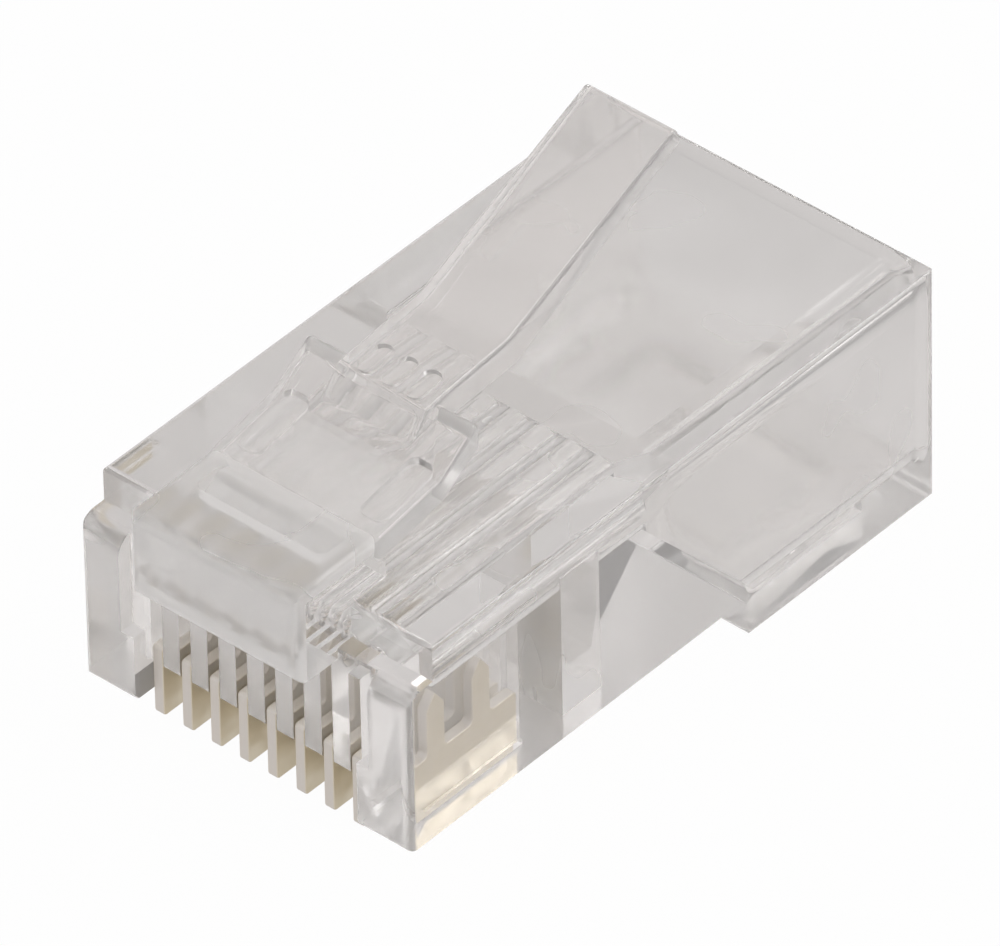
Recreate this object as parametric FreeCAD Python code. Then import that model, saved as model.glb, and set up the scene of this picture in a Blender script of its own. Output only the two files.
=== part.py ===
import FreeCAD, Part

import math
import os

from FreeCAD import Vector

# A clear eight-contact modular plug as it is sold: uncrimped, with no cable in it.
# While it is modelled, x runs across the plug, y from the front of its ears towards the cable end,
# and z up from the underside of the ears towards the latch. Sizes are in millimetres.

# Body
plug_width = 11.75
body_length = 21.85
body_height = 6.575
block_start = 13.80
block_drop = 1.405
ear_width = 1.88
ear_height = 5.40
ear_depth = 1.045
ear_top_round = 0.65
edge_round = 0.18
upright_round = 0.30
foot_round = 0.40

# Nose between the ears
comb_setback = 0.47
comb_lift = 0.20
comb_chamfer_height = 1.05
comb_chamfer_length = 0.95
ear_relief_depth = 0.45
ear_relief_start = 2.20

# Contacts and their slots
contact_count = 8
contact_pitch = 1.02
blade_thickness = 0.35
blade_fit = 0.03
blade_length = 4.83
blade_stand_out = 0.545
blade_plate_height = 2.375
blade_corner_round = 0.12
tine_height = 2.07
tine_point_height = 0.50
tine_width = 0.72
tine_root_round = 0.18
front_tine_start = 1.22
tine_pitch = 1.84
slot_end_gap = 0.06

# Wire channels
channel_radius = 0.54
channel_roof = 1.335
channel_start = 1.90
channel_end = 10.50
channel_tip_length = 0.30
channel_tip_radius = 0.25
channel_run_on = 0.50

# Cable cavity
cavity_width = 9.60
cavity_roof = 0.70
cavity_floor = 1.05
cavity_corner_round = 0.70
throat_side_run = 0.90
throat_roof_run = 0.90
throat_floor_run = 4.10
entry_flare = 0.28
entry_flare_length = 0.45

# Conductor anchor bar, pressed up onto the wires by the crimp
anchor_start = 7.00
anchor_length = 1.45
anchor_width = 8.30
anchor_height = 2.60
anchor_foot_length = 0.95
anchor_foot_height = 1.10
anchor_travel = 0.60
anchor_fit = 0.06

# Cable strain relief bar, swung up onto the cable jacket by the crimp
relief_hinge_at = 15.55
relief_length = 4.30
relief_width = 5.90
relief_thickness = 0.92
relief_tooth_length = 1.30
relief_tooth_height = 0.45
relief_fit = 0.06
relief_sink = 0.06

# Latch root on the nose
latch_width = 6.02
root_overhang = 1.15
root_rise = 1.43
root_underside = 5.00
root_sink = 0.50
root_round = 0.45
root_side_round = 0.40
root_top_round = 0.30
notch_width = 4.60
notch_start = 0.75
notch_length = 1.20
notch_depth = 0.80
notch_round = 0.30

# Latch
hinge_at = 2.45
hinge_radius = 0.385
hinge_fit = 0.05
arm_slope = 10.0
arm_length = 2.35
ramp_slope = 34.5
ramp_length = 2.00
shoulder_height = 0.95
shoulder_round = 0.15
tail_width = 3.25
ridge_start = 0.40
ridge_slope = 48.0
ridge_length = 1.12
ridge_round = 0.15
shelf_slope = 5.6
shelf_length = 3.44
tail_slope = 23.2
tail_length = 7.50
shelf_thickness = 1.05
tail_end_thickness = 0.56
tail_tip_round = 0.15
tail_end_round = 0.20
latch_edge_round = 0.12
recess_depth = 0.16
recess_round = 0.28
arm_recess_width = 0.90
arm_recess_start = 0.35
arm_recess_length = 2.30
arm_recess_inset = 0.80
shelf_recess_count = 3
shelf_recess_width = 0.60
shelf_recess_pitch = 0.85
shelf_recess_start = 0.15
shelf_recess_length = 1.20
panel_width = 2.80
panel_length = 0.86
panel_depth = 0.08

# Room left beyond a face so that a cut passes right through it
overcut = 1.0
right_angle = 90.0

# Places worked out from the sizes above
half_width = plug_width / 2
comb_half_width = half_width - ear_width
blade_bottom = -blade_stand_out
blade_top = blade_bottom + blade_plate_height
channel_height = body_height - channel_roof - channel_radius
cavity_roof_height = body_height - cavity_roof
cavity_floor_height = cavity_floor - block_drop
root_top = body_height + root_rise
hinge_height = root_top - hinge_radius
throat_end = channel_end + throat_floor_run
relief_hinge_radius = relief_thickness / 2
relief_hinge_height = cavity_floor_height - relief_sink - relief_hinge_radius
frame_shift = Vector(0, -(body_length - root_overhang) / 2, block_drop)


def side_view(a, b):
    return Vector(0, a, b)


def plan_view(a, b):
    return Vector(a, b, 0)


def end_view(a, b):
    return Vector(a, 0, b)


def corner_arc(before, corner, after, radius):
    """Ends and middle of the arc that rounds a corner between its two neighbours."""
    to_before = (before - corner).normalize()
    to_after = (after - corner).normalize()
    half_angle = to_before.getAngle(to_after) / 2
    reach = radius / math.tan(half_angle)
    middle_line = (to_before + to_after).normalize()
    middle = corner + middle_line * (radius / math.sin(half_angle) - radius)
    return corner + to_before * reach, middle, corner + to_after * reach


def outline(corners, view):
    """Face inside a closed outline of (a, b) or (a, b, radius) corners, drawn in one view."""
    points = [view(corner[0], corner[1]) for corner in corners]
    radii = [corner[2] if len(corner) > 2 else 0 for corner in corners]
    edges = []
    starts = []
    ends = []
    for i, point in enumerate(points):
        if radii[i] > 0:
            enter, middle, leave = corner_arc(points[i - 1], point, points[(i + 1) % len(points)], radii[i])
            edges.append(Part.Arc(enter, middle, leave).toShape())
        else:
            enter = leave = point
        starts.append(enter)
        ends.append(leave)
    for i, leave in enumerate(ends):
        arrive = starts[(i + 1) % len(points)]
        if leave.distanceToPoint(arrive) > 1e-6:
            edges.append(Part.LineSegment(leave, arrive).toShape())
    return Part.Face(Part.Wire(Part.__sortEdges__(edges)))


def across(corners, width):
    """Side outline made solid over a width that is centred on the plug."""
    face = outline(corners, side_view)
    face.translate(Vector(-width / 2, 0, 0))
    return face.extrude(Vector(width, 0, 0))


def upright(corners, low, high):
    """Plan outline made solid between two heights."""
    face = outline(corners, plan_view)
    face.translate(Vector(0, 0, low))
    return face.extrude(Vector(0, 0, high - low))


def lengthwise(corners, start, end):
    """End outline made solid between two places along the plug."""
    face = outline(corners, end_view)
    face.translate(Vector(0, start, 0))
    return face.extrude(Vector(0, end - start, 0))


def block(width, start, end, low, high, centre=0):
    """Plain box centred across the plug, or about another place across it."""
    return Part.makeBox(width, end - start, high - low, Vector(centre - width / 2, start, low))


def rectangle(half, start, end, round_start=0, round_end=0):
    """Corners of a rectangle about the middle line, with its two ends rounded as asked."""
    front = [(-half, start, round_start), (half, start, round_start)]
    back = [(half, end, round_end), (-half, end, round_end)]
    return front + back


def step(point, slope, length):
    """The place reached from a side-view point by going along a slope given in degrees."""
    angle = math.radians(slope)
    return (point[0] + length * math.cos(angle), point[1] + length * math.sin(angle))


def contact_places():
    middle = (contact_count - 1) / 2
    return [(i - middle) * contact_pitch for i in range(contact_count)]


def body_blank():
    """Outer form of the body, from its side, plan and end outlines."""
    side = across(
        [
            (0, 0, edge_round),
            (0, ear_height, ear_top_round),
            (ear_depth, ear_height),
            (ear_depth, body_height, edge_round),
            (body_length, body_height, edge_round),
            (body_length, -block_drop, foot_round),
            (block_start, -block_drop, foot_round),
            (block_start, 0, edge_round),
        ],
        plug_width,
    )
    plan = upright(
        rectangle(half_width, 0, body_length, upright_round, upright_round),
        -block_drop - overcut,
        body_height + overcut,
    )
    end = lengthwise(
        [
            (-half_width, -block_drop, edge_round),
            (half_width, -block_drop, edge_round),
            (half_width, body_height, edge_round),
            (-half_width, body_height, edge_round),
        ],
        -overcut,
        body_length + overcut,
    )
    return side.common(plan).common(end)


def nose_opening():
    """Space between the ears, in front of and under the comb that holds the blades."""
    front = block(2 * comb_half_width, -overcut, comb_setback, -overcut, ear_height + overcut)
    relief_width = 2 * (comb_half_width + ear_relief_depth)
    relief = block(relief_width, -overcut, comb_setback, ear_relief_start, ear_height + overcut)
    comb_end = comb_setback + blade_length + slot_end_gap
    under = block(2 * comb_half_width, comb_setback - overcut, comb_end, -overcut, comb_lift)
    lead_in = across(
        [
            (comb_setback - overcut, -overcut),
            (comb_setback - overcut, comb_lift + comb_chamfer_height),
            (comb_setback, comb_lift + comb_chamfer_height),
            (comb_setback + comb_chamfer_length, comb_lift),
            (comb_setback + comb_chamfer_length, -overcut),
        ],
        2 * comb_half_width,
    )
    return front.fuse([relief, under, lead_in])


def contact_slots():
    """One narrow slot for each blade, open at the front, below, and above into its wire channel."""
    width = blade_thickness + 2 * blade_fit
    end = comb_setback + blade_length + slot_end_gap
    return [block(width, -overcut, end, -overcut, channel_height, x) for x in contact_places()]


def wire_channels():
    """Round channels side by side, overlapping so that ridges are left between them."""
    along = Vector(0, 1, 0)
    channels = []
    for x in contact_places():
        start = Vector(x, channel_start, channel_height)
        length = channel_end - channel_start + channel_run_on
        channels.append(Part.makeCylinder(channel_radius, length, start, along))
        tip = start - along * channel_tip_length
        channels.append(Part.makeCone(channel_tip_radius, channel_radius, channel_tip_length, tip, along))
    return channels


def cable_cavity():
    """Cable space behind the wire channels, with a throat that narrows down to them."""
    channel_top = channel_height + channel_radius
    channel_bottom = channel_height - channel_radius
    side = across(
        [
            (channel_end, channel_bottom),
            (channel_end, channel_top),
            (channel_end + throat_roof_run, cavity_roof_height),
            (body_length + overcut, cavity_roof_height),
            (body_length + overcut, cavity_floor_height),
            (throat_end, cavity_floor_height),
        ],
        plug_width,
    )
    channel_half = contact_count * contact_pitch / 2
    cavity_half = cavity_width / 2
    plan = upright(
        [
            (-channel_half, channel_end),
            (channel_half, channel_end),
            (cavity_half, channel_end + throat_side_run),
            (cavity_half, body_length + overcut),
            (-cavity_half, body_length + overcut),
            (-cavity_half, channel_end + throat_side_run),
        ],
        -block_drop,
        body_height,
    )
    end = lengthwise(
        [
            (-cavity_half, cavity_floor_height, cavity_corner_round),
            (cavity_half, cavity_floor_height, cavity_corner_round),
            (cavity_half, cavity_roof_height, cavity_corner_round),
            (-cavity_half, cavity_roof_height, cavity_corner_round),
        ],
        0,
        body_length + overcut,
    )
    return side.common(plan).common(end)


def entry_wire(grow, y):
    """Outline of the cable entry at one place along the plug, grown on every side."""
    half = cavity_width / 2 + grow
    radius = cavity_corner_round + grow
    face = outline(
        [
            (-half, cavity_floor_height - grow, radius),
            (half, cavity_floor_height - grow, radius),
            (half, cavity_roof_height + grow, radius),
            (-half, cavity_roof_height + grow, radius),
        ],
        end_view,
    )
    face.translate(Vector(0, y, 0))
    return face.OuterWire


def entry_mouth():
    """Flared mouth where the cable goes in."""
    inner = entry_wire(0, body_length - entry_flare_length)
    outer = entry_wire(entry_flare, body_length)
    return Part.makeLoft([inner, outer], True, True)


def anchor_pocket():
    """Pocket that the conductor anchor bar moves in, from the underside up into the channels."""
    width = anchor_width + 2 * anchor_fit
    start = anchor_start - anchor_fit
    end = anchor_start + anchor_length + anchor_fit
    roof = channel_height - channel_radius + anchor_travel + anchor_fit
    return block(width, start, end, -overcut, roof)


def relief_pocket():
    """Window through the floor of the cable space for the strain relief bar."""
    seat_radius = relief_hinge_radius + relief_fit
    reach = math.hypot(relief_length, relief_hinge_radius)
    width = relief_width + 2 * relief_fit
    low = -block_drop - overcut
    high = cavity_floor_height + overcut
    window = block(width, relief_hinge_at, relief_hinge_at + reach + relief_fit, low, high)
    seat_start = Vector(-width / 2, relief_hinge_at, relief_hinge_height)
    seat = Part.makeCylinder(seat_radius, width, seat_start, Vector(1, 0, 0))
    return window.fuse(seat)


def latch_root():
    """Rounded block on the nose that the latch springs from, with its shallow notch."""
    front = -root_overhang
    side = across(
        [
            (front, root_underside, root_round),
            (front, root_top, root_round),
            (hinge_at, root_top),
            (hinge_at, hinge_height),
            (hinge_at, body_height - root_sink),
            (ear_depth, body_height - root_sink),
            (ear_depth, root_underside),
        ],
        latch_width,
    )
    plan = upright(
        rectangle(latch_width / 2, front, body_length, root_side_round, 0),
        0,
        root_top + overcut,
    )
    half = latch_width / 2
    end = lengthwise(
        [
            (-half, 0),
            (half, 0),
            (half, root_top, root_top_round),
            (-half, root_top, root_top_round),
        ],
        front,
        body_length,
    )
    notch = across(
        [
            (notch_start, root_top + overcut),
            (notch_start, root_top - notch_depth),
            (notch_start + notch_length, root_top),
            (notch_start + notch_length, root_top + overcut),
        ],
        notch_width,
    )
    notch_plan = upright(
        rectangle(notch_width / 2, notch_start, notch_start + notch_length, notch_round, notch_round),
        0,
        root_top + overcut,
    )
    seat_start = Vector(-latch_width, hinge_at, hinge_height)
    seat = Part.makeCylinder(hinge_radius + hinge_fit, 2 * latch_width, seat_start, Vector(1, 0, 0))
    return side.common(plan).common(end).cut(notch.common(notch_plan)).cut(seat)


def make_housing():
    """Clear moulding: body, ears, comb, channels, cable space and the root of the latch."""
    shell = body_blank().cut(nose_opening())
    shell = shell.fuse(latch_root())
    cuts = contact_slots() + wire_channels()
    cuts += [cable_cavity(), entry_mouth(), anchor_pocket(), relief_pocket()]
    return shell.cut(cuts).removeSplitter()


def make_blade(x):
    """Contact blade: a plate with two tines above it that pierce the wire."""
    front = comb_setback
    back = front + blade_length
    tine_top = blade_top + tine_height
    tine_side = tine_top - tine_point_height
    first = front + front_tine_start
    second = first + tine_pitch
    corners = [
        (front, blade_bottom, blade_corner_round),
        (front, blade_top, blade_corner_round),
        (first, blade_top, tine_root_round),
        (first, tine_side),
        (first + tine_width / 2, tine_top),
        (first + tine_width, tine_side),
        (first + tine_width, blade_top, tine_root_round),
        (second, blade_top, tine_root_round),
        (second, tine_side),
        (second + tine_width / 2, tine_top),
        (second + tine_width, tine_side),
        (second + tine_width, blade_top, tine_root_round),
        (back, blade_top, blade_corner_round),
        (back, blade_bottom, blade_corner_round),
    ]
    blade = across(corners, blade_thickness)
    blade.translate(Vector(x, 0, 0))
    return blade


def make_anchor_bar():
    """Bar across all the channels, with a narrower foot that the crimp tool presses."""
    top = channel_height - channel_radius
    middle = anchor_start + anchor_length / 2
    low = top - anchor_height
    corners = [
        (anchor_start, top),
        (anchor_start + anchor_length, top),
        (anchor_start + anchor_length, low + anchor_foot_height),
        (middle + anchor_foot_length / 2, low),
        (middle - anchor_foot_length / 2, low),
        (anchor_start, low + anchor_foot_height),
    ]
    return across(corners, anchor_width)


def make_relief_bar():
    """Flap in the floor of the cable space, with a tooth at its free end that grips the jacket."""
    top = relief_hinge_height + relief_hinge_radius
    bottom = relief_hinge_height - relief_hinge_radius
    end = relief_hinge_at + relief_length
    body = across(
        [
            (relief_hinge_at, bottom),
            (relief_hinge_at, top),
            (end - relief_tooth_length, top - relief_tooth_height),
            (end, top),
            (end, bottom + relief_tooth_height),
            (end - relief_tooth_height, bottom),
        ],
        relief_width,
    )
    start = Vector(-relief_width / 2, relief_hinge_at, relief_hinge_height)
    knuckle = Part.makeCylinder(relief_hinge_radius, relief_width, start, Vector(1, 0, 0))
    return body.fuse(knuckle).removeSplitter()


def sunk_panel(start, slope, x, size, depth):
    """Cutter for a shallow recess with rounded corners, laid on a sloping top face."""
    width, length = size
    panel = upright(rectangle(width / 2, 0, length, recess_round, recess_round), -depth, overcut)
    panel.rotate(Vector(0, 0, 0), Vector(1, 0, 0), slope)
    panel.translate(Vector(x, start[0], start[1]))
    return panel


def rounded(point, radius):
    return (point[0], point[1], radius)


def soften_long_edges(solid, width):
    """Round the edges that run along both sides of a solid made by across()."""
    sides = [edge for edge in solid.Edges if abs(abs(edge.CenterOfMass.x) - width / 2) < 1e-6]
    return solid.makeFillet(latch_edge_round, sides)


def make_latch():
    """Sprung latch: rounded hinge end, wide arm with its locking shoulders, and the long tail."""
    centre = (hinge_at, hinge_height)
    arm_top = step(centre, arm_slope + right_angle, hinge_radius)
    arm_bottom = step(centre, arm_slope - right_angle, hinge_radius)
    ramp_foot = step(arm_top, arm_slope, arm_length)
    shoulder = step(ramp_foot, ramp_slope, ramp_length)
    bend = step(arm_bottom, arm_slope, arm_length)
    under_shoulder = (shoulder[0], shoulder[1] - shoulder_height)
    arm = across(
        [
            rounded(step(arm_top, arm_slope, -hinge_radius), hinge_radius),
            ramp_foot,
            rounded(shoulder, shoulder_round),
            rounded(under_shoulder, shoulder_round),
            bend,
            rounded(step(arm_bottom, arm_slope, -hinge_radius), hinge_radius),
        ],
        latch_width,
    )

    ridge_foot = step(ramp_foot, ramp_slope, ridge_start)
    ridge_top = step(ridge_foot, ridge_slope, ridge_length)
    shelf_end = step(ridge_top, shelf_slope, shelf_length)
    tail_end = step(shelf_end, tail_slope, tail_length)
    under_shelf = step(shelf_end, (shelf_slope + tail_slope) / 2 - right_angle, shelf_thickness)
    under_end = step(tail_end, tail_slope - right_angle, tail_end_thickness)
    upper_side = [ridge_foot, rounded(ridge_top, ridge_round), shelf_end, rounded(tail_end, tail_tip_round)]
    lower_side = [rounded(under_end, tail_tip_round), under_shelf, under_shoulder, bend]
    tail = across(upper_side + lower_side, tail_width)
    tail_plan = upright(
        rectangle(tail_width / 2, ramp_foot[0] - overcut, under_end[0], 0, tail_end_round),
        0,
        tail_end[1] + overcut,
    )
    tail = soften_long_edges(tail, tail_width).common(tail_plan)
    latch = soften_long_edges(arm, latch_width).fuse(tail)

    panel_start = step(ridge_foot, ridge_slope, (ridge_length - panel_length) / 2)
    cuts = [sunk_panel(panel_start, ridge_slope, 0, (panel_width, panel_length), panel_depth)]
    arm_recess = (arm_recess_width, arm_recess_length)
    recess_start = step(arm_top, arm_slope, arm_recess_start)
    for side in (-1, 1):
        x = side * (latch_width / 2 - arm_recess_inset)
        cuts.append(sunk_panel(recess_start, arm_slope, x, arm_recess, recess_depth))
    shelf_recess = (shelf_recess_width, shelf_recess_length)
    recess_start = step(ridge_top, shelf_slope, shelf_recess_start)
    for i in range(shelf_recess_count):
        x = (i - (shelf_recess_count - 1) / 2) * shelf_recess_pitch
        cuts.append(sunk_panel(recess_start, shelf_slope, x, shelf_recess, recess_depth))
    return latch.cut(cuts).removeSplitter()


def export(shape, name):
    placed = shape.copy()
    placed.translate(frame_shift)
    if len(placed.Solids) == 1:
        placed = placed.Solids[0]
    placed.exportStep("parts/" + name + ".step")
    box = placed.BoundBox
    print(name, "volume %.3f" % placed.Volume, "valid", placed.isValid(), "solids", len(placed.Solids))
    print("  low", box.XMin, box.YMin, box.ZMin, "high", box.XMax, box.YMax, box.ZMax)


os.makedirs("parts", exist_ok=True)
export(make_housing(), "housing")
export(make_latch(), "latch")
export(make_anchor_bar(), "conductor_anchor_bar")
export(make_relief_bar(), "strain_relief_bar")
for number, place in enumerate(contact_places(), start=1):
    export(make_blade(place), "contact_blade_%d" % number)
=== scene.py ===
"""Dresses the clear eight-contact modular plug: moulded plastic, plated blades and a studio."""

import math

import bmesh
import bpy
from bpy.props import FloatProperty, FloatVectorProperty, IntProperty, PointerProperty
from bpy.types import Operator, Panel, PropertyGroup
from mathutils import Matrix, Vector


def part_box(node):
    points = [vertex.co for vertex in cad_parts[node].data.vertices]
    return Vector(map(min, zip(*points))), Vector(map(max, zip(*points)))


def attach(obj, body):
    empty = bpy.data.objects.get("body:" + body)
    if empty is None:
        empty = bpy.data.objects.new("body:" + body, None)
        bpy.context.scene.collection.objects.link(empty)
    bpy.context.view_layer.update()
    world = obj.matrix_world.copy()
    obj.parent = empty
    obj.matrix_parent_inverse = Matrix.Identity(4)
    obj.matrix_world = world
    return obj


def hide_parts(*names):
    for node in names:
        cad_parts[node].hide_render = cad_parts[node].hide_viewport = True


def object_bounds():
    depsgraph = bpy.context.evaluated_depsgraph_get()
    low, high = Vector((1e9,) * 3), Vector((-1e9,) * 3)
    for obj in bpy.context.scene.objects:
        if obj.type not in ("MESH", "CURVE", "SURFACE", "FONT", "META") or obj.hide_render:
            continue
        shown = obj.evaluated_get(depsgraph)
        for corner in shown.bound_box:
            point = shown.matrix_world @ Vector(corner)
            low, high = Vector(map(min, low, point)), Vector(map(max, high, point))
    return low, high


bl_info = {
    "name": "Clear Modular Plug",
    "version": (1, 0, 0),
    "blender": (4, 5, 0),
    "location": "3D View > Sidebar > Plug",
    "description": "Clear plastic and plated contacts for an eight-contact modular plug, with its studio",
    "category": "Object",
}

BLADES = ["contact_blade_%d" % number for number in range(1, 9)]

# Finishes beside the first one, as places in a piece's list of materials
SATIN = 1
FROSTED = 1
CORED = 2

# Faces of the solids that meet at less than this are parts of one flat face
FLAT_ANGLE = math.radians(0.5)

# Noise behind the mould marks, and the span that its values mostly fill
WAVE_DETAIL = 1.5
WAVE_ROUGHNESS = 0.4
WAVE_LOW = 0.3
WAVE_HIGH = 0.7

# Light has to cross many faces of clear plastic before it leaves the plug
CLEAR_BOUNCES = 40
SHINY_BOUNCES = 12

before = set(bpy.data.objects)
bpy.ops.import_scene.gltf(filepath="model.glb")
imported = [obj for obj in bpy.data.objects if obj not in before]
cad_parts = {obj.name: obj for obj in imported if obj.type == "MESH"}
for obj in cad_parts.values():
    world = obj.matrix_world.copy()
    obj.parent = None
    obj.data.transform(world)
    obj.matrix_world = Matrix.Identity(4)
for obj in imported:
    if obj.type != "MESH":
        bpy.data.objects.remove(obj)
cad_low, cad_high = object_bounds()


class PlasticSettings(PropertyGroup):
    """Clear moulded plastic of the housing, the latch and the two bars."""

    tint: FloatVectorProperty(
        name="Tint",
        description="Colour that light takes on as it goes in and out of the plastic",
        subtype="COLOR",
        size=3,
        min=0.0,
        max=1.0,
        default=(0.985, 0.972, 0.965),
    )
    shade: FloatVectorProperty(
        name="Shade",
        description="Colour of the lamp light that each face of the plastic lets through",
        subtype="COLOR",
        size=3,
        min=0.0,
        max=1.0,
        default=(0.94, 0.94, 0.935),
    )
    refraction: FloatProperty(
        name="Refractive index",
        description="How strongly the plastic bends light",
        min=1.0,
        max=2.5,
        default=1.585,
    )
    milk: FloatVectorProperty(
        name="Milk",
        description="Colour of the faint milky haze in the plastic",
        subtype="COLOR",
        size=3,
        min=0.0,
        max=1.0,
        default=(0.84, 0.83, 0.825),
    )
    polish: FloatProperty(
        name="Polish",
        description="Roughness of the polished faces",
        min=0.0,
        max=1.0,
        default=0.05,
    )
    haze: FloatProperty(
        name="Haze",
        description="Share of milky light in each polished face",
        min=0.0,
        max=1.0,
        default=0.1,
    )
    satin: FloatProperty(
        name="Satin",
        description="Roughness of the latch's wide arm, which is less polished than the rest",
        min=0.0,
        max=1.0,
        default=0.2,
    )
    satin_haze: FloatProperty(
        name="Satin haze",
        description="Share of milky light in each face of the wide arm",
        min=0.0,
        max=1.0,
        default=0.22,
    )
    arm_end: FloatProperty(
        name="Arm end",
        description="Faces of the latch in front of this place along the plug belong to the wide arm",
        unit="LENGTH",
        subtype="DISTANCE",
        default=-0.0054,
    )
    frost: FloatProperty(
        name="Frost",
        description="Roughness of the frosted latch root",
        min=0.0,
        max=1.0,
        default=0.22,
    )
    frost_haze: FloatProperty(
        name="Frost haze",
        description="Share of milky light in each face of the frosted latch root",
        min=0.0,
        max=1.0,
        default=0.38,
    )
    core: FloatProperty(
        name="Core finish",
        description="Roughness of the faces inside the body, left by the mould's core pins",
        min=0.0,
        max=1.0,
        default=0.22,
    )
    core_haze: FloatProperty(
        name="Core haze",
        description="Share of milky light in each face inside the body",
        min=0.0,
        max=1.0,
        default=0.09,
    )
    skin: FloatProperty(
        name="Skin",
        description="Faces deeper than this under the outer form count as inside",
        unit="LENGTH",
        subtype="DISTANCE",
        default=0.0003,
    )
    core_front: FloatProperty(
        name="Core front",
        description="Inside faces in front of this place along the plug are polished, as in the slots",
        unit="LENGTH",
        subtype="DISTANCE",
        default=-0.006,
    )
    step_at: FloatProperty(
        name="Step",
        description="Place along the plug where the deeper rear block begins",
        unit="LENGTH",
        subtype="DISTANCE",
        default=0.00345,
    )
    step_height: FloatProperty(
        name="Step height",
        description="How far the underside steps down at the rear block",
        unit="LENGTH",
        subtype="DISTANCE",
        default=0.001405,
    )
    root_half_width: FloatProperty(
        name="Root half width",
        description="Half the width of the latch root, and a little over",
        unit="LENGTH",
        subtype="DISTANCE",
        default=0.00302,
    )
    frost_end: FloatProperty(
        name="Frost end",
        description="Faces of the latch root behind this place along the plug are polished",
        unit="LENGTH",
        subtype="DISTANCE",
        default=-0.0093,
    )
    frost_low: FloatProperty(
        name="Frost low",
        description="Height of the underside of the latch root's overhang",
        unit="LENGTH",
        subtype="DISTANCE",
        default=0.00635,
    )
    body_top: FloatProperty(
        name="Body top",
        description="Height of the flat top that the latch root stands on",
        unit="LENGTH",
        subtype="DISTANCE",
        default=0.00799,
    )
    ripple: FloatProperty(
        name="Ripple",
        description="Height of the slow waves that moulding leaves in the faces",
        unit="LENGTH",
        subtype="DISTANCE",
        min=0.0,
        default=0.0000015,
    )
    ripple_size: FloatProperty(
        name="Ripple size",
        description="Waves per metre across the faces",
        min=1.0,
        default=350.0,
    )
    smooth_share: FloatProperty(
        name="Smooth share",
        description="Least roughness over the waves, as a share of the face's own",
        min=0.0,
        max=1.0,
        default=0.6,
    )
    rough_share: FloatProperty(
        name="Rough share",
        description="Greatest roughness over the waves, as a share of the face's own",
        min=1.0,
        default=1.4,
    )
    merge: FloatProperty(
        name="Merge distance",
        description="Corners of the solids that lie closer than this become one",
        unit="LENGTH",
        subtype="DISTANCE",
        min=0.0,
        default=0.000001,
    )
    smooth_below: FloatProperty(
        name="Smooth below",
        description="Faces that meet at less than this angle are shaded as one round surface",
        unit="ROTATION",
        subtype="ANGLE",
        default=math.radians(50),
    )


class ContactSettings(PropertyGroup):
    """Plated contact blades."""

    gold: FloatVectorProperty(
        name="Gold",
        description="Colour of the gold plating on the flat sides",
        subtype="COLOR",
        size=3,
        min=0.0,
        max=1.0,
        default=(0.82, 0.75, 0.60),
    )
    nickel: FloatVectorProperty(
        name="Nickel",
        description="Colour of the sheared edges",
        subtype="COLOR",
        size=3,
        min=0.0,
        max=1.0,
        default=(0.84, 0.80, 0.75),
    )
    roughness: FloatProperty(
        name="Roughness",
        description="Roughness of the plating",
        min=0.0,
        max=1.0,
        default=0.46,
    )
    smooth_share: FloatProperty(
        name="Smooth share",
        description="Least roughness over the grain, as a share of the plating's own",
        min=0.0,
        max=1.0,
        default=0.8,
    )
    rough_share: FloatProperty(
        name="Rough share",
        description="Greatest roughness over the grain, as a share of the plating's own",
        min=1.0,
        default=1.4,
    )
    grain: FloatProperty(
        name="Grain",
        description="Height of the grain that stamping leaves in the plating",
        unit="LENGTH",
        subtype="DISTANCE",
        min=0.0,
        default=0.000002,
    )
    grain_size: FloatProperty(
        name="Grain size",
        description="Waves of the grain per metre",
        min=1.0,
        default=1800.0,
    )
    edge_round: FloatProperty(
        name="Edge rounding",
        description="Width of the rounding along the stamped edges",
        unit="LENGTH",
        subtype="DISTANCE",
        min=0.0,
        default=0.00004,
    )
    edge_steps: IntProperty(
        name="Edge steps",
        description="Faces across each rounded edge",
        min=1,
        max=6,
        default=2,
    )


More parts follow.
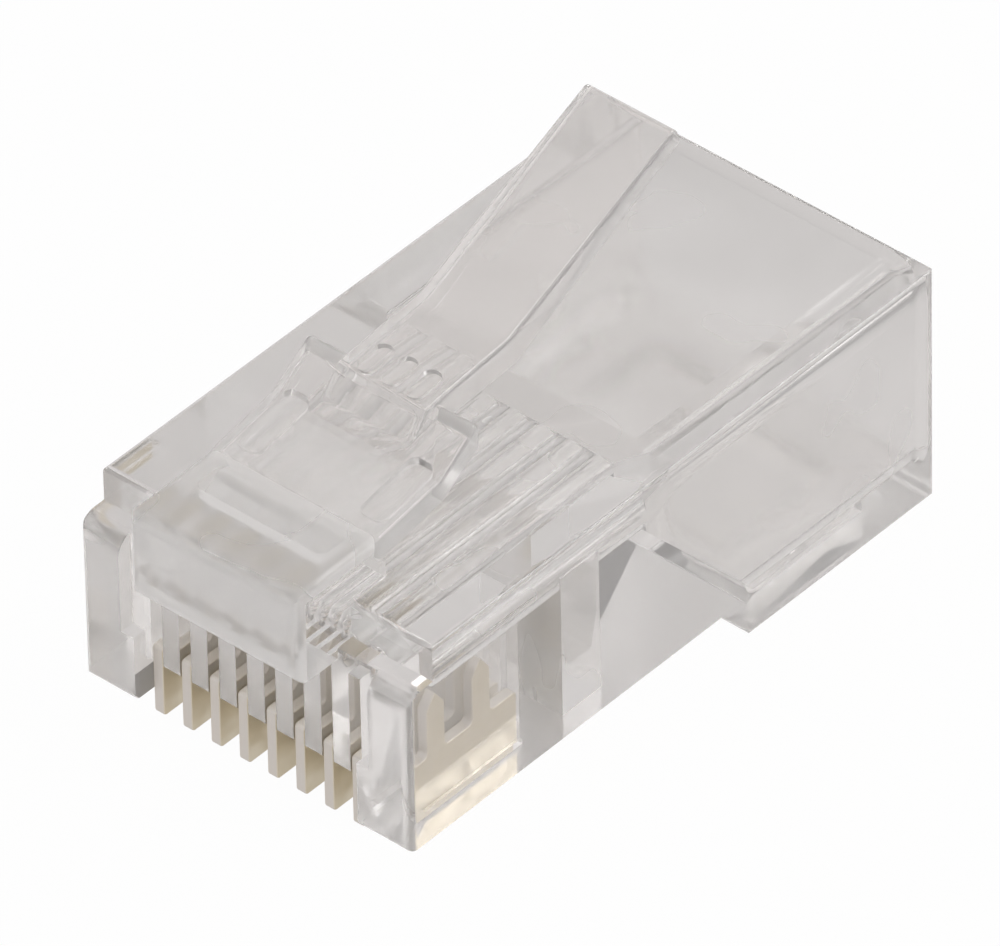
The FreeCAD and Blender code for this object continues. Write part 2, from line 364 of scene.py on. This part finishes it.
class StageSettings(PropertyGroup):
    """Floor, light and camera."""

    floor_size: FloatProperty(
        name="Floor size",
        description="Half the width of the floor",
        unit="LENGTH",
        subtype="DISTANCE",
        default=6.0,
    )
    floor_colour: FloatVectorProperty(
        name="Floor colour",
        description="Colour of the floor under lamp light",
        subtype="COLOR",
        size=3,
        min=0.0,
        max=1.0,
        default=(0.80, 0.795, 0.785),
    )
    floor_roughness: FloatProperty(
        name="Floor roughness",
        description="Roughness of the floor",
        min=0.0,
        max=1.0,
        default=0.9,
    )
    block_front: FloatProperty(
        name="Block front",
        description="Place along the plug where the front of its rear block touches the floor",
        unit="LENGTH",
        subtype="DISTANCE",
        default=0.0036,
    )
    background: FloatProperty(
        name="Background",
        description="Share of plain white in what the camera sees of the floor",
        min=0.0,
        max=1.0,
        default=0.97,
    )
    see_through: FloatProperty(
        name="Background in glass",
        description="Share of even light in what clear and shiny pieces show of the floor",
        min=0.0,
        max=1.0,
        default=0.97,
    )
    glass_light: FloatProperty(
        name="Brightness in glass",
        description="Strength of that even light",
        min=0.0,
        max=1.0,
        default=0.65,
    )
    far_light: FloatProperty(
        name="Far brightness in glass",
        description="Strength of that even light far from the plug",
        min=0.0,
        max=1.0,
        default=0.3,
    )
    pool_start: FloatProperty(
        name="Pool start",
        description="Distance from the plug at which the floor's brightness in glass begins to fall",
        unit="LENGTH",
        subtype="DISTANCE",
        default=0.013,
    )
    pool_end: FloatProperty(
        name="Pool end",
        description="Distance from the plug at which it has fallen",
        unit="LENGTH",
        subtype="DISTANCE",
        default=0.036,
    )
    sky_colour: FloatVectorProperty(
        name="Light colour",
        description="Colour of the even light from all round",
        subtype="COLOR",
        size=3,
        min=0.0,
        max=1.0,
        default=(1.0, 0.972, 0.962),
    )
    horizon_height: FloatProperty(
        name="Horizon height",
        description="How far up the light from the sides reaches, as a share of straight up",
        min=0.01,
        max=1.0,
        default=0.6,
    )
    sky: FloatProperty(
        name="Overhead light",
        description="Strength of the even light from straight above",
        min=0.0,
        default=0.55,
    )
    horizon: FloatProperty(
        name="Horizon light",
        description="Strength of the even light from the sides",
        min=0.0,
        default=0.95,
    )
    gap_towards: FloatVectorProperty(
        name="Gap direction",
        description="Direction of the darker gap in the light, behind the plug, that its inner edges show",
        subtype="XYZ",
        size=3,
        default=(-0.45, 0.65, 0.60),
    )
    gap_edge: FloatProperty(
        name="Gap edge",
        description="Cosine of the angle from the gap's middle to its edge",
        min=-1.0,
        max=0.99,
        default=0.90,
    )
    gap_light: FloatProperty(
        name="Light in the gap",
        description="Share of the even light left in the middle of the gap",
        min=0.0,
        max=1.0,
        default=0.15,
    )
    key_place: FloatVectorProperty(
        name="Key lamp place",
        description="Where this lamp stands",
        subtype="XYZ",
        unit="LENGTH",
        size=3,
        default=(-0.05, 0.10, 0.50),
    )
    key_power: FloatProperty(
        name="Key lamp",
        description="Power of the soft lamp above the plug",
        unit="POWER",
        min=0.0,
        default=0.6,
    )
    key_size: FloatProperty(
        name="Key lamp size",
        description="Width of the lamp above the plug",
        unit="LENGTH",
        subtype="DISTANCE",
        default=0.25,
    )
    fill_place: FloatVectorProperty(
        name="Fill lamp place",
        description="Where this lamp stands",
        subtype="XYZ",
        unit="LENGTH",
        size=3,
        default=(0.33, -0.30, 0.10),
    )
    fill_power: FloatProperty(
        name="Fill lamp",
        description="Power of the soft lamp beside the camera, on the front and the side of the plug",
        unit="POWER",
        min=0.0,
        default=0.5,
    )
    fill_size: FloatProperty(
        name="Fill lamp size",
        description="Width of the lamp beside the camera",
        unit="LENGTH",
        subtype="DISTANCE",
        default=0.45,
    )
    rim_place: FloatVectorProperty(
        name="Rim lamp place",
        description="Where this lamp stands",
        subtype="XYZ",
        unit="LENGTH",
        size=3,
        default=(0.33, 0.29, 0.26),
    )
    rim_power: FloatProperty(
        name="Rim lamp",
        description="Power of the lamp behind the plug that draws its rounded edges",
        unit="POWER",
        min=0.0,
        default=0.35,
    )
    rim_size: FloatProperty(
        name="Rim lamp size",
        description="Width of the lamp behind the plug",
        unit="LENGTH",
        subtype="DISTANCE",
        default=0.2,
    )
    azimuth: FloatProperty(
        name="Azimuth",
        description="Direction that the camera looks from, round the plug",
        unit="ROTATION",
        subtype="ANGLE",
        default=math.radians(41.805),
    )
    elevation: FloatProperty(
        name="Elevation",
        description="Height angle that the camera looks down from",
        unit="ROTATION",
        subtype="ANGLE",
        default=math.radians(39.839),
    )
    roll: FloatProperty(
        name="Roll",
        description="Turn of the camera about its line of sight",
        unit="ROTATION",
        subtype="ANGLE",
        default=math.radians(-1.194),
    )
    distance: FloatProperty(
        name="Camera distance",
        description="From the camera to the point it looks at",
        unit="LENGTH",
        subtype="DISTANCE",
        default=0.50924,
    )
    lens: FloatProperty(
        name="Lens",
        description="Focal length of the camera, in millimetres",
        default=676.7,
    )
    aim: FloatVectorProperty(
        name="Aim",
        description="Point that the camera looks at",
        subtype="XYZ",
        unit="LENGTH",
        size=3,
        default=(-0.000009, 0.000129, 0.004840),
    )


def view_axes(azimuth, elevation, roll):
    """Right, up and back directions of a camera at these angles."""
    across = Vector((math.cos(azimuth), math.sin(azimuth), 0))
    back = Vector((
        math.sin(azimuth) * math.cos(elevation),
        -math.cos(azimuth) * math.cos(elevation),
        math.sin(elevation),
    ))
    upward = back.cross(across)
    right = math.cos(roll) * across + math.sin(roll) * upward
    up = math.cos(roll) * upward - math.sin(roll) * across
    return right, up, back


def new_material(name):
    """Empty node material with its Principled shader and output."""
    material = bpy.data.materials.new(name)
    material.use_nodes = True
    tree = material.node_tree
    tree.nodes.clear()
    shader = tree.nodes.new("ShaderNodeBsdfPrincipled")
    output = tree.nodes.new("ShaderNodeOutputMaterial")
    tree.links.new(shader.outputs["BSDF"], output.inputs["Surface"])
    return material, tree, shader


def show_surface(tree, shader):
    """Puts another shader than the Principled one out as the material's surface."""
    output = next(node for node in tree.nodes if node.type == "OUTPUT_MATERIAL")
    tree.links.new(shader, output.inputs["Surface"])


def new_group(name, inputs, outputs):
    """Shader node group with its input and output sockets given as {name: kind}."""
    group = bpy.data.node_groups.new(name, "ShaderNodeTree")
    for label, kind in inputs.items():
        group.interface.new_socket(name=label, in_out="INPUT", socket_type="NodeSocket" + kind)
    for label, kind in outputs.items():
        group.interface.new_socket(name=label, in_out="OUTPUT", socket_type="NodeSocket" + kind)
    start = group.nodes.new("NodeGroupInput")
    end = group.nodes.new("NodeGroupOutput")
    return group, start, end


def place_group(tree, group, **values):
    """Group node in a material's tree, with its own values."""
    node = tree.nodes.new("ShaderNodeGroup")
    node.node_tree = group
    for label, value in values.items():
        node.inputs[label].default_value = value
    return node


def mould_marks_group():
    """Slow waves and fine grain that a mould leaves on a surface, as a height and a roughness."""
    if "mould_marks" in bpy.data.node_groups:
        return bpy.data.node_groups["mould_marks"]
    group, start, end = new_group(
        "mould_marks",
        {
            "Position": "Vector",
            "Scale": "Float",
            "Height": "Float",
            "Smooth": "Float",
            "Rough": "Float",
        },
        {"Height": "Float", "Roughness": "Float"},
    )
    nodes = group.nodes
    links = group.links
    waves = nodes.new("ShaderNodeTexNoise")
    waves.inputs["Detail"].default_value = WAVE_DETAIL
    waves.inputs["Roughness"].default_value = WAVE_ROUGHNESS
    links.new(start.outputs["Position"], waves.inputs["Vector"])
    links.new(start.outputs["Scale"], waves.inputs["Scale"])
    lift = nodes.new("ShaderNodeMath")
    lift.operation = "MULTIPLY"
    links.new(waves.outputs["Fac"], lift.inputs[0])
    links.new(start.outputs["Height"], lift.inputs[1])
    links.new(lift.outputs["Value"], end.inputs["Height"])
    haze = nodes.new("ShaderNodeMapRange")
    links.new(waves.outputs["Fac"], haze.inputs["Value"])
    haze.inputs["From Min"].default_value = WAVE_LOW
    haze.inputs["From Max"].default_value = WAVE_HIGH
    links.new(start.outputs["Smooth"], haze.inputs["To Min"])
    links.new(start.outputs["Rough"], haze.inputs["To Max"])
    links.new(haze.outputs["Result"], end.inputs["Roughness"])
    return group


def clear_plastic(name, plastic, roughness, haze):
    """Clear polycarbonate with mould waves, and a share of milky light that softens what it shows."""
    material, tree, shader = new_material(name)
    nodes = tree.nodes
    links = tree.links
    shader.inputs["Base Color"].default_value = (*plastic.tint, 1.0)
    shader.inputs["Transmission Weight"].default_value = 1.0
    shader.inputs["IOR"].default_value = plastic.refraction
    place = nodes.new("ShaderNodeTexCoord")
    marks = place_group(
        tree,
        mould_marks_group(),
        Scale=plastic.ripple_size,
        Height=plastic.ripple,
        Smooth=roughness * plastic.smooth_share,
        Rough=roughness * plastic.rough_share,
    )
    links.new(place.outputs["Object"], marks.inputs["Position"])
    links.new(marks.outputs["Roughness"], shader.inputs["Roughness"])
    bump = nodes.new("ShaderNodeBump")
    bump.inputs["Distance"].default_value = 1.0
    links.new(marks.outputs["Height"], bump.inputs["Height"])
    links.new(bump.outputs["Normal"], shader.inputs["Normal"])
    milk = nodes.new("ShaderNodeBsdfDiffuse")
    milk.inputs["Color"].default_value = (*plastic.milk, 1.0)
    hazy = nodes.new("ShaderNodeMixShader")
    hazy.inputs["Fac"].default_value = haze
    links.new(shader.outputs["BSDF"], hazy.inputs[1])
    links.new(milk.outputs["BSDF"], hazy.inputs[2])
    path = nodes.new("ShaderNodeLightPath")
    lamp_light = nodes.new("ShaderNodeMath")
    lamp_light.operation = "MAXIMUM"
    links.new(path.outputs["Is Shadow Ray"], lamp_light.inputs[0])
    links.new(path.outputs["Is Diffuse Ray"], lamp_light.inputs[1])
    passing = nodes.new("ShaderNodeBsdfTransparent")
    passing.inputs["Color"].default_value = (*plastic.shade, 1.0)
    surface = nodes.new("ShaderNodeMixShader")
    links.new(lamp_light.outputs["Value"], surface.inputs["Fac"])
    links.new(hazy.outputs["Shader"], surface.inputs[1])
    links.new(passing.outputs["BSDF"], surface.inputs[2])
    show_surface(tree, surface.outputs["Shader"])
    return material


def plated_metal(name, contacts):
    """Gold plating on the flat sides, paler on the sheared edges."""
    material, tree, shader = new_material(name)
    nodes = tree.nodes
    links = tree.links
    shader.inputs["Metallic"].default_value = 1.0
    place = nodes.new("ShaderNodeTexCoord")
    split = nodes.new("ShaderNodeSeparateXYZ")
    links.new(place.outputs["Normal"], split.inputs["Vector"])
    flat = nodes.new("ShaderNodeMath")
    flat.operation = "ABSOLUTE"
    links.new(split.outputs["X"], flat.inputs[0])
    colour = nodes.new("ShaderNodeMix")
    colour.data_type = "RGBA"
    colour.inputs["A"].default_value = (*contacts.nickel, 1.0)
    colour.inputs["B"].default_value = (*contacts.gold, 1.0)
    links.new(flat.outputs["Value"], colour.inputs["Factor"])
    links.new(colour.outputs["Result"], shader.inputs["Base Color"])
    marks = place_group(
        tree,
        mould_marks_group(),
        Scale=contacts.grain_size,
        Height=contacts.grain,
        Smooth=contacts.roughness * contacts.smooth_share,
        Rough=contacts.roughness * contacts.rough_share,
    )
    links.new(place.outputs["Object"], marks.inputs["Position"])
    links.new(marks.outputs["Roughness"], shader.inputs["Roughness"])
    bump = nodes.new("ShaderNodeBump")
    links.new(marks.outputs["Height"], bump.inputs["Height"])
    bump.inputs["Distance"].default_value = 1.0
    links.new(bump.outputs["Normal"], shader.inputs["Normal"])
    return material


def merged_copy(node, merge):
    """Mesh of a CAD node with its loose triangles joined and its flat faces made whole."""
    shape = bmesh.new()
    shape.from_mesh(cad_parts[node].data)
    bmesh.ops.remove_doubles(shape, verts=shape.verts, dist=merge)
    bmesh.ops.dissolve_limit(
        shape,
        angle_limit=FLAT_ANGLE,
        verts=shape.verts[:],
        edges=shape.edges[:],
    )
    return shape


def shading_normals(mesh, smooth_below):
    """Normal at each face corner: the nearly level faces round it, each counted by its area."""
    around = [[] for _ in mesh.vertices]
    for face in mesh.polygons:
        for corner in face.vertices:
            around[corner].append(face)
    normals = []
    for face in mesh.polygons:
        for corner in face.vertices:
            total = Vector()
            for other in around[corner]:
                if face.normal.angle(other.normal, math.pi) < smooth_below:
                    total += other.normal * other.area
            normals.append(total.normalized())
    return normals


def finish_piece(shape, name, node, body, material, smooth_below):
    """Object of a finished mesh, smooth where its faces meet gently, in place of its CAD node."""
    for face in shape.faces:
        face.smooth = True
    mesh = bpy.data.meshes.new(name)
    shape.to_mesh(mesh)
    shape.free()
    mesh.normals_split_custom_set(shading_normals(mesh, smooth_below))
    mesh.materials.append(material)
    piece = bpy.data.objects.new(name, mesh)
    bpy.context.scene.collection.objects.link(piece)
    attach(piece, body)
    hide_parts(node)
    return piece


def clear_piece(name, node):
    """One clear moulded piece in place of its CAD node, polished all over to begin with."""
    plastic = bpy.context.scene.plug_plastic
    label = "polished_polycarbonate"
    material = bpy.data.materials.get(label) or clear_plastic(label, plastic, plastic.polish, plastic.haze)
    shape = merged_copy(node, plastic.merge)
    return finish_piece(shape, name, node, node, material, plastic.smooth_below)


def finish_housing_faces(housing, plastic):
    """Frosts the latch root on the nose, and roughens the inside faces behind the blade slots a little."""
    frosted = clear_plastic("frosted_polycarbonate", plastic, plastic.frost, plastic.frost_haze)
    cored = clear_plastic("cored_polycarbonate", plastic, plastic.core, plastic.core_haze)
    housing.data.materials.append(frosted)
    housing.data.materials.append(cored)
    for face in housing.data.polygons:
        x, y, z = face.center
        overhang = y < plastic.frost_end and z > plastic.frost_low
        low = plastic.skin if y > plastic.step_at else plastic.step_height + plastic.skin
        across = abs(x) < cad_high.x - plastic.skin
        along = plastic.core_front < y < cad_high.y - plastic.skin
        if z > plastic.body_top or (overhang and abs(x) < plastic.root_half_width):
            face.material_index = FROSTED
        elif across and along and low < z < plastic.body_top - plastic.skin:
            face.material_index = CORED


class PLUG_OT_housing(Operator):
    """Add the clear housing with its finishes"""

    bl_idname = "plug.housing"
    bl_label = "Housing"

    def execute(self, context):
        housing = clear_piece("clear_housing", "housing")
        finish_housing_faces(housing, context.scene.plug_plastic)
        return {"FINISHED"}


class PLUG_OT_latch(Operator):
    """Add the sprung latch with its satin arm"""

    bl_idname = "plug.latch"
    bl_label = "Latch"

    def execute(self, context):
        plastic = context.scene.plug_plastic
        latch = clear_piece("clear_latch", "latch")
        satin = clear_plastic("satin_polycarbonate", plastic, plastic.satin, plastic.satin_haze)
        latch.data.materials.append(satin)
        for face in latch.data.polygons:
            if face.center.y < plastic.arm_end:
                face.material_index = SATIN
        return {"FINISHED"}


class PLUG_OT_crimp_bars(Operator):
    """Add the two bars that the crimp presses onto the wires and the cable"""

    bl_idname = "plug.crimp_bars"
    bl_label = "Crimp bars"

    def execute(self, context):
        clear_piece("clear_anchor_bar", "conductor_anchor_bar")
        clear_piece("clear_relief_bar", "strain_relief_bar")
        return {"FINISHED"}


class PLUG_OT_contacts(Operator):
    """Add the eight plated contact blades"""

    bl_idname = "plug.contacts"
    bl_label = "Contacts"

    def execute(self, context):
        contacts = context.scene.plug_contacts
        plastic = context.scene.plug_plastic
        material = plated_metal("gold_plating", contacts)
        for node in BLADES:
            shape = merged_copy(node, plastic.merge)
            edges = [edge for edge in shape.edges if edge.calc_face_angle(0) > plastic.smooth_below]
            bmesh.ops.bevel(
                shape,
                geom=edges,
                offset=contacts.edge_round,
                offset_type="OFFSET",
                segments=contacts.edge_steps,
                profile=0.5,
                affect="EDGES",
                clamp_overlap=True,
                material=-1,
            )
            name = node.replace("contact", "plated")
            finish_piece(shape, name, node, node, material, plastic.smooth_below)
        return {"FINISHED"}


def floor_material(stage):
    """Pale floor with a faint shadow: white to the camera, a pool of even light in clear pieces."""
    material, tree, shader = new_material("floor")
    nodes = tree.nodes
    links = tree.links
    shader.inputs["Base Color"].default_value = (*stage.floor_colour, 1.0)
    shader.inputs["Roughness"].default_value = stage.floor_roughness
    shader.inputs["Specular IOR Level"].default_value = 0.0
    place = nodes.new("ShaderNodeTexCoord")
    distance = nodes.new("ShaderNodeVectorMath")
    distance.operation = "LENGTH"
    links.new(place.outputs["Object"], distance.inputs[0])
    pool = nodes.new("ShaderNodeMapRange")
    pool.interpolation_type = "SMOOTHSTEP"
    pool.inputs["From Min"].default_value = stage.pool_start
    pool.inputs["From Max"].default_value = stage.pool_end
    pool.inputs["To Min"].default_value = stage.glass_light
    pool.inputs["To Max"].default_value = stage.far_light
    links.new(distance.outputs["Value"], pool.inputs["Value"])
    white = nodes.new("ShaderNodeEmission")
    path = nodes.new("ShaderNodeLightPath")
    colour = nodes.new("ShaderNodeMix")
    colour.data_type = "RGBA"
    colour.inputs["A"].default_value = (*stage.sky_colour, 1.0)
    colour.inputs["B"].default_value = (1.0, 1.0, 1.0, 1.0)
    links.new(path.outputs["Is Camera Ray"], colour.inputs["Factor"])
    links.new(colour.outputs["Result"], white.inputs["Color"])
    strength = nodes.new("ShaderNodeMapRange")
    strength.inputs["To Max"].default_value = 1.0
    links.new(pool.outputs["Result"], strength.inputs["To Min"])
    links.new(path.outputs["Is Camera Ray"], strength.inputs["Value"])
    links.new(strength.outputs["Result"], white.inputs["Strength"])
    glass = nodes.new("ShaderNodeMath")
    glass.operation = "MAXIMUM"
    links.new(path.outputs["Is Glossy Ray"], glass.inputs[0])
    links.new(path.outputs["Is Transmission Ray"], glass.inputs[1])
    in_glass = nodes.new("ShaderNodeMath")
    in_glass.operation = "MULTIPLY"
    in_glass.inputs[1].default_value = stage.see_through
    links.new(glass.outputs["Value"], in_glass.inputs[0])
    share = nodes.new("ShaderNodeMath")
    share.operation = "MULTIPLY_ADD"
    share.inputs[1].default_value = stage.background
    links.new(path.outputs["Is Camera Ray"], share.inputs[0])
    links.new(in_glass.outputs["Value"], share.inputs[2])
    mixed = nodes.new("ShaderNodeMixShader")
    links.new(share.outputs["Value"], mixed.inputs["Fac"])
    links.new(shader.outputs["BSDF"], mixed.inputs[1])
    links.new(white.outputs["Emission"], mixed.inputs[2])
    show_surface(tree, mixed.outputs["Shader"])
    return material


def add_floor(stage):
    """Floor that the plug rests on, along its blades' lower edges and the front of its rear block."""
    blade_low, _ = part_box(BLADES[0])
    slope = math.atan2(blade_low.z, stage.block_front - blade_low.y)
    shape = bmesh.new()
    bmesh.ops.create_grid(shape, x_segments=1, y_segments=1, size=stage.floor_size)
    bmesh.ops.rotate(shape, verts=shape.verts, cent=(0, 0, 0), matrix=Matrix.Rotation(-slope, 3, "X"))
    bmesh.ops.translate(shape, verts=shape.verts, vec=(0, stage.block_front, 0))
    mesh = bpy.data.meshes.new("floor")
    shape.to_mesh(mesh)
    shape.free()
    mesh.materials.append(floor_material(stage))
    floor = bpy.data.objects.new("floor", mesh)
    bpy.context.scene.collection.objects.link(floor)


def add_world(stage):
    """Even light from all round, strongest from the sides, with a darker gap behind the plug."""
    world = bpy.data.worlds.new("studio")
    bpy.context.scene.world = world
    world.use_nodes = True
    nodes = world.node_tree.nodes
    links = world.node_tree.links
    background = nodes["Background"]
    background.inputs["Color"].default_value = (*stage.sky_colour, 1.0)
    place = nodes.new("ShaderNodeTexCoord")
    split = nodes.new("ShaderNodeSeparateXYZ")
    links.new(place.outputs["Generated"], split.inputs["Vector"])
    height = nodes.new("ShaderNodeMapRange")
    height.interpolation_type = "SMOOTHSTEP"
    height.inputs["From Max"].default_value = stage.horizon_height
    height.inputs["To Min"].default_value = stage.horizon
    height.inputs["To Max"].default_value = stage.sky
    links.new(split.outputs["Z"], height.inputs["Value"])
    towards = nodes.new("ShaderNodeVectorMath")
    towards.operation = "DOT_PRODUCT"
    towards.inputs[1].default_value = Vector(stage.gap_towards).normalized()
    links.new(place.outputs["Generated"], towards.inputs[0])
    gap = nodes.new("ShaderNodeMapRange")
    gap.interpolation_type = "SMOOTHSTEP"
    gap.inputs["From Min"].default_value = stage.gap_edge
    gap.inputs["To Min"].default_value = 1.0
    gap.inputs["To Max"].default_value = stage.gap_light
    links.new(towards.outputs["Value"], gap.inputs["Value"])
    strength = nodes.new("ShaderNodeMath")
    strength.operation = "MULTIPLY"
    links.new(height.outputs["Result"], strength.inputs[0])
    links.new(gap.outputs["Result"], strength.inputs[1])
    links.new(strength.outputs["Value"], background.inputs["Strength"])


def add_lamp(name, place, power, size):
    """Square soft lamp that faces the middle of the plug."""
    lamp = bpy.data.lights.new(name, "AREA")
    lamp.energy = power
    lamp.size = size
    holder = bpy.data.objects.new(name, lamp)
    holder.location = place
    middle = (cad_low + cad_high) / 2
    holder.rotation_euler = (middle - Vector(place)).to_track_quat("-Z", "Y").to_euler()
    bpy.context.scene.collection.objects.link(holder)


def add_camera(stage):
    """Camera at the angle and framing of the photograph."""
    right, up, back = view_axes(stage.azimuth, stage.elevation, stage.roll)
    camera = bpy.data.cameras.new("camera")
    camera.lens = stage.lens
    camera.sensor_width = 36.0
    camera.clip_start = 0.01
    camera.clip_end = 100.0
    holder = bpy.data.objects.new("camera", camera)
    turn = Matrix((right, up, back)).transposed().to_4x4()
    holder.matrix_world = Matrix.Translation(Vector(stage.aim) + stage.distance * back) @ turn
    bpy.context.scene.collection.objects.link(holder)
    bpy.context.scene.camera = holder


class PLUG_OT_stage(Operator):
    """Add the floor, the light and the camera"""

    bl_idname = "plug.stage"
    bl_label = "Studio"

    def execute(self, context):
        stage = context.scene.plug_stage
        add_floor(stage)
        add_world(stage)
        add_lamp("key_lamp", stage.key_place, stage.key_power, stage.key_size)
        add_lamp("fill_lamp", stage.fill_place, stage.fill_power, stage.fill_size)
        add_lamp("rim_lamp", stage.rim_place, stage.rim_power, stage.rim_size)
        add_camera(stage)
        context.scene.view_settings.view_transform = "Standard"
        context.scene.cycles.max_bounces = CLEAR_BOUNCES
        context.scene.cycles.transmission_bounces = CLEAR_BOUNCES
        context.scene.cycles.glossy_bounces = SHINY_BOUNCES
        return {"FINISHED"}


class PLUG_PT_panel(Panel):
    """Steps that build the plug and its studio"""

    bl_label = "Modular Plug"
    bl_idname = "PLUG_PT_panel"
    bl_space_type = "VIEW_3D"
    bl_region_type = "UI"
    bl_category = "Plug"

    def draw(self, context):
        for operator in OPERATORS:
            self.layout.operator(operator.bl_idname)


OPERATORS = (PLUG_OT_housing, PLUG_OT_latch, PLUG_OT_crimp_bars, PLUG_OT_contacts, PLUG_OT_stage)
SETTINGS = {
    "plug_plastic": PlasticSettings,
    "plug_contacts": ContactSettings,
    "plug_stage": StageSettings,
}


def register():
    for name, group in SETTINGS.items():
        bpy.utils.register_class(group)
        setattr(bpy.types.Scene, name, PointerProperty(type=group))
    for operator in OPERATORS:
        bpy.utils.register_class(operator)
    bpy.utils.register_class(PLUG_PT_panel)


def unregister():
    bpy.utils.unregister_class(PLUG_PT_panel)
    for operator in reversed(OPERATORS):
        bpy.utils.unregister_class(operator)
    for name, group in SETTINGS.items():
        delattr(bpy.types.Scene, name)
        bpy.utils.unregister_class(group)


def main():
    register()
    bpy.ops.plug.housing()
    bpy.ops.plug.latch()
    bpy.ops.plug.crimp_bars()
    bpy.ops.plug.contacts()
    bpy.ops.plug.stage()


if __name__ == "__main__":
    main()
